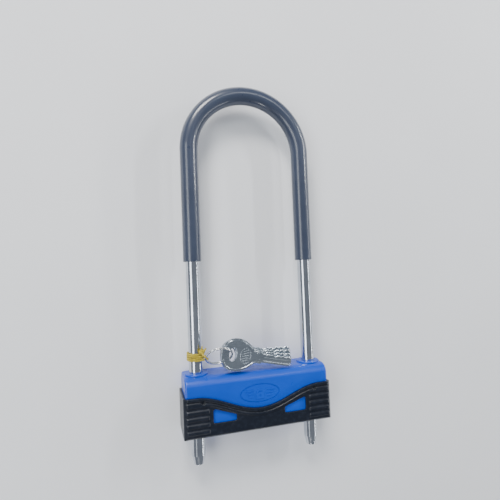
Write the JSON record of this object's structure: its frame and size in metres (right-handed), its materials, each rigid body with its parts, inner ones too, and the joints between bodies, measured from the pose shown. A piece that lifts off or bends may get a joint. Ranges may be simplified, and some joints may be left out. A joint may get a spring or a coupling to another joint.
{
  "type": "u lock",
  "caption": "Long U-shaped bicycle lock: a sleeved steel shackle through a blue crossbar with a black bumper, bolts worked by a key cylinder, and keys tied to a leg.",
  "frame": {"origin": "on the surface that the lock lies on, under the centre of its overall length and width", "axes": "+Z out of the crossbar's front face, +Y along the legs towards the bend, +X to the right seen from the front"},
  "size_m": [0.132, 0.3325, 0.0373],
  "materials": {
    "chrome_steel": "polished plating with fine handling marks",
    "sleeve_vinyl": "dark grey-blue vinyl, satin",
    "blue_casing": "moulded blue plastic, semi-gloss",
    "black_bumper": "soft black plastic",
    "lock_body_steel": "cast zinc alloy, dull",
    "zinc_steel": "zinc plated steel",
    "brass": "turned brass",
    "key_nickel": "nickel plated, stamped",
    "black_plastic": "moulded black plastic",
    "yellow_string": "twisted yellow string"
  },
  "bodies": {
    "crossbar": {"casing_front": "blue_casing", "casing_back": "blue_casing", "casing_screws": "zinc_steel", "bumper": "black_bumper", "lock_body": "lock_body_steel", "body_cover": "zinc_steel", "cover_screws": "zinc_steel", "cylinder_lock_pin": "zinc_steel", "cylinder_housing": "brass", "driver_pins": "brass", "tumbler_springs": "zinc_steel", "leg_guide_top_left": "blue_casing", "leg_guide_top_right": "blue_casing", "leg_guide_bottom_left": "blue_casing", "leg_guide_bottom_right": "blue_casing", "dust_cover_rivet": "zinc_steel"},
    "shackle": {"shackle": "chrome_steel", "shackle_sleeve": "sleeve_vinyl", "string_tie": "yellow_string"},
    "plug": {"cylinder_plug": "brass", "key_pins": "brass", "plug_clip": "zinc_steel", "cam_disc": "zinc_steel"},
    "bolt_left": {"bolt_left": "zinc_steel", "follower_pin_left": "zinc_steel"},
    "bolt_right": {"bolt_right": "zinc_steel", "follower_pin_right": "zinc_steel"},
    "dust_cover": {"dust_cover": "black_plastic"},
    "key_ring": {"key_ring": "key_nickel"},
    "key_1": {"key_1": "key_nickel"},
    "key_2": {"key_2": "key_nickel"},
    "key_3": {"key_3": "key_nickel"},
    "key_4": {"key_4": "key_nickel"}
  },
  "joints": [
    {"name": "shackle_slide", "type": "slide", "parent": "crossbar", "child": "shackle", "axis": [0, 1, 0], "range_m": [0, 0.095]},
    {"name": "plug_turn", "type": "hinge", "parent": "crossbar", "child": "plug", "pos_m": [0, -0.12, 0.017], "axis": [0, 1, 0], "range_deg": [0, 90]},
    {"name": "bolt_left_slide", "type": "slide", "parent": "crossbar", "child": "bolt_left", "axis": [-1, 0, 0], "range_m": [0, 0.005]},
    {"name": "bolt_right_slide", "type": "slide", "parent": "crossbar", "child": "bolt_right", "axis": [1, 0, 0], "range_m": [0, 0.005]},
    {"name": "dust_cover_swing", "type": "hinge", "parent": "crossbar", "child": "dust_cover", "pos_m": [0.017, -0.14, 0.017], "axis": [0, 1, 0], "range_deg": [0, 90]},
    {"name": "key_ring_swing", "type": "hinge", "parent": "shackle", "child": "key_ring", "pos_m": [-0.0454, -0.0743, 0.028], "axis": [0, -1, 0], "range_deg": [-9, 50]},
    {"name": "key_1_swing", "type": "hinge", "parent": "key_ring", "child": "key_1", "pos_m": [-0.0224, -0.0755, 0.02485], "axis": [0, 0, 1], "range_deg": [0, 6]},
    {"name": "key_2_swing", "type": "hinge", "parent": "key_ring", "child": "key_2", "pos_m": [-0.0224, -0.0747, 0.02695], "axis": [0, 0, 1], "range_deg": [0, 6]},
    {"name": "key_3_swing", "type": "hinge", "parent": "key_ring", "child": "key_3", "pos_m": [-0.0224, -0.0739, 0.02905], "axis": [0, 0, 1], "range_deg": [0, 6]},
    {"name": "key_4_swing", "type": "hinge", "parent": "key_ring", "child": "key_4", "pos_m": [-0.0224, -0.0731, 0.03115], "axis": [0, 0, 1], "range_deg": [0, 6]}
  ],
  "couplings": [
    {"joint": "plug_turn", "follows": "bolt_left_slide", "rad_per_m": 314.15},
    {"joint": "bolt_right_slide", "follows": "bolt_left_slide", "ratio": 1}
  ]
}
